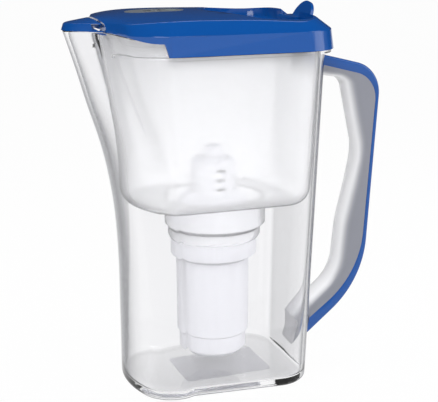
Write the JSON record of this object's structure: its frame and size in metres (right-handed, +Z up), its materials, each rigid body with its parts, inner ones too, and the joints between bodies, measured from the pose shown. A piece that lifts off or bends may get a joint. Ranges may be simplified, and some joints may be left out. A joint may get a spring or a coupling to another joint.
{
  "type": "water filter pitcher",
  "caption": "Clear pitcher with a handle and spout; a frosted hopper in its rim holds a white filter cartridge under a blue lid with a fill flap, a spout flap and a change indicator.",
  "frame": {"origin": "on the floor under the filter cartridge's axis", "axes": "+Z up, +X towards the handle, -X towards the spout, +Y completes a right-handed frame"},
  "size_m": [0.2388, 0.1308, 0.2766],
  "materials": {
    "clear_plastic": "clear gloss",
    "clear_handle": "clear gloss",
    "blue_plastic": "gloss",
    "frosted_plastic": "frosted",
    "white_plastic": "satin",
    "seal_rubber": "matte",
    "filter_mesh": "matte",
    "mineral_media": "granular",
    "carbon_media": "granular",
    "grey_plastic": "satin",
    "lens_plastic": "clear gloss",
    "display_panel": "satin",
    "board_green": "satin",
    "cell_steel": "brushed",
    "button_grey": "satin"
  },
  "bodies": {
    "jug": {"jug": "clear_plastic", "handle_frame": "clear_handle", "grip_strip": "blue_plastic"},
    "hopper": {"hopper_tub": "frosted_plastic"},
    "filter": {"filter_housing": "white_plastic", "filter_cap": "white_plastic", "filter_seal": "seal_rubber", "inlet_screen": "filter_mesh", "mineral_bed": "mineral_media", "divider_screen": "filter_mesh", "carbon_bed": "carbon_media", "outlet_screen": "filter_mesh"},
    "lid": {"lid_shell": "blue_plastic", "indicator_case": "grey_plastic", "indicator_lens": "lens_plastic", "display": "display_panel", "circuit_board": "board_green", "coin_cell": "cell_steel", "battery_cover": "grey_plastic"},
    "spout_flap": {"spout_flap": "blue_plastic"},
    "fill_flap": {"fill_flap": "blue_plastic"},
    "reset_button": {"reset_button": "button_grey"}
  },
  "joints": [
    {"name": "hopper_lift", "type": "slide", "parent": "jug", "child": "hopper", "axis": [0, 0, 1], "range_m": [0, 0.25]},
    {"name": "filter_lift", "type": "slide", "parent": "hopper", "child": "filter", "axis": [0, 0, 1], "range_m": [0, 0.07]},
    {"name": "lid_lift", "type": "slide", "parent": "hopper", "child": "lid", "axis": [0, 0, 1], "range_m": [0, 0.1]},
    {"name": "spout_flap_hinge", "type": "hinge", "parent": "lid", "child": "spout_flap", "pos_m": [-0.092, 0, 0.2636], "axis": [0, 1, 0], "range_deg": [0, 40]},
    {"name": "fill_flap_hinge", "type": "hinge", "parent": "lid", "child": "fill_flap", "pos_m": [0.0194, 0, 0.2635], "axis": [0, -1, 0], "range_deg": [0, 95]},
    {"name": "reset_press", "type": "slide", "parent": "lid", "child": "reset_button", "axis": [0, 0, -1], "range_m": [0, 0.0012], "stiffness_N_per_m": 400}
  ]
}
